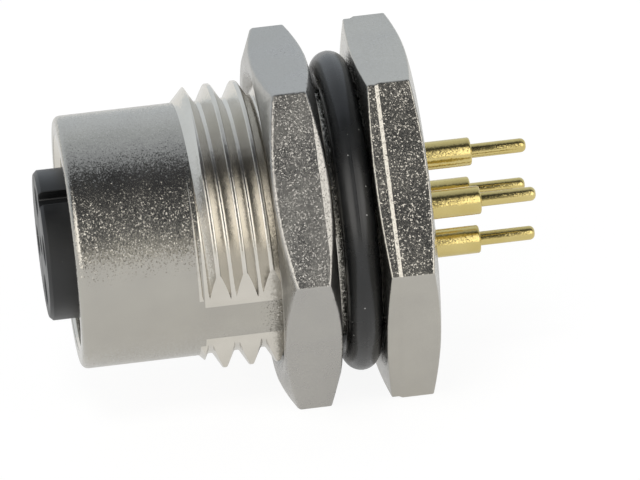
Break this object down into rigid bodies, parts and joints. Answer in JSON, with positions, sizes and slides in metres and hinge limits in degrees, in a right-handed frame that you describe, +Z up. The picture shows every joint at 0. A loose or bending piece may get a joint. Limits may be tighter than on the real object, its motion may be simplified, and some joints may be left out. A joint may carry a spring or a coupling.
{
  "type": "m12 connector",
  "caption": "Round panel connector: a threaded metal shell with a hexagonal flange, a lock nut and seal, a female contact insert in front and solder pins behind.",
  "frame": {"origin": "centre of the contact circle, on the plane where the circuit board meets the shoulders of the pins", "axes": "+X along the connector's axis, out of the solder tails, with the mating face looking to -X; +Z up, as it lies on one facet of its flange and of its lock nut"},
  "size_m": [0.0279, 0.022, 0.019],
  "materials": {
    "nickel_shell": "turned brass, nickel plated",
    "nickel_nut": "turned brass, nickel plated",
    "seal_rubber": "moulded, dull",
    "inner_seal_rubber": "moulded, dull",
    "insert_plastic": "moulded, fine satin",
    "gold_plating": "turned brass, gold plated"
  },
  "bodies": {
    "housing": {"shell": "nickel_shell", "panel_seal": "seal_rubber", "insert": "insert_plastic", "insert_body": "insert_plastic", "insert_seal": "inner_seal_rubber", "rear_plate": "insert_plastic", "contact_1": "gold_plating", "contact_2": "gold_plating", "contact_3": "gold_plating", "contact_4": "gold_plating"},
    "nut": {"lock_nut": "nickel_nut"}
  },
  "joints": [
    {"name": "nut_travel", "type": "slide", "parent": "housing", "child": "nut", "axis": [1, 0, 0], "range_m": [-0.0045, 0.0004]}
  ]
}
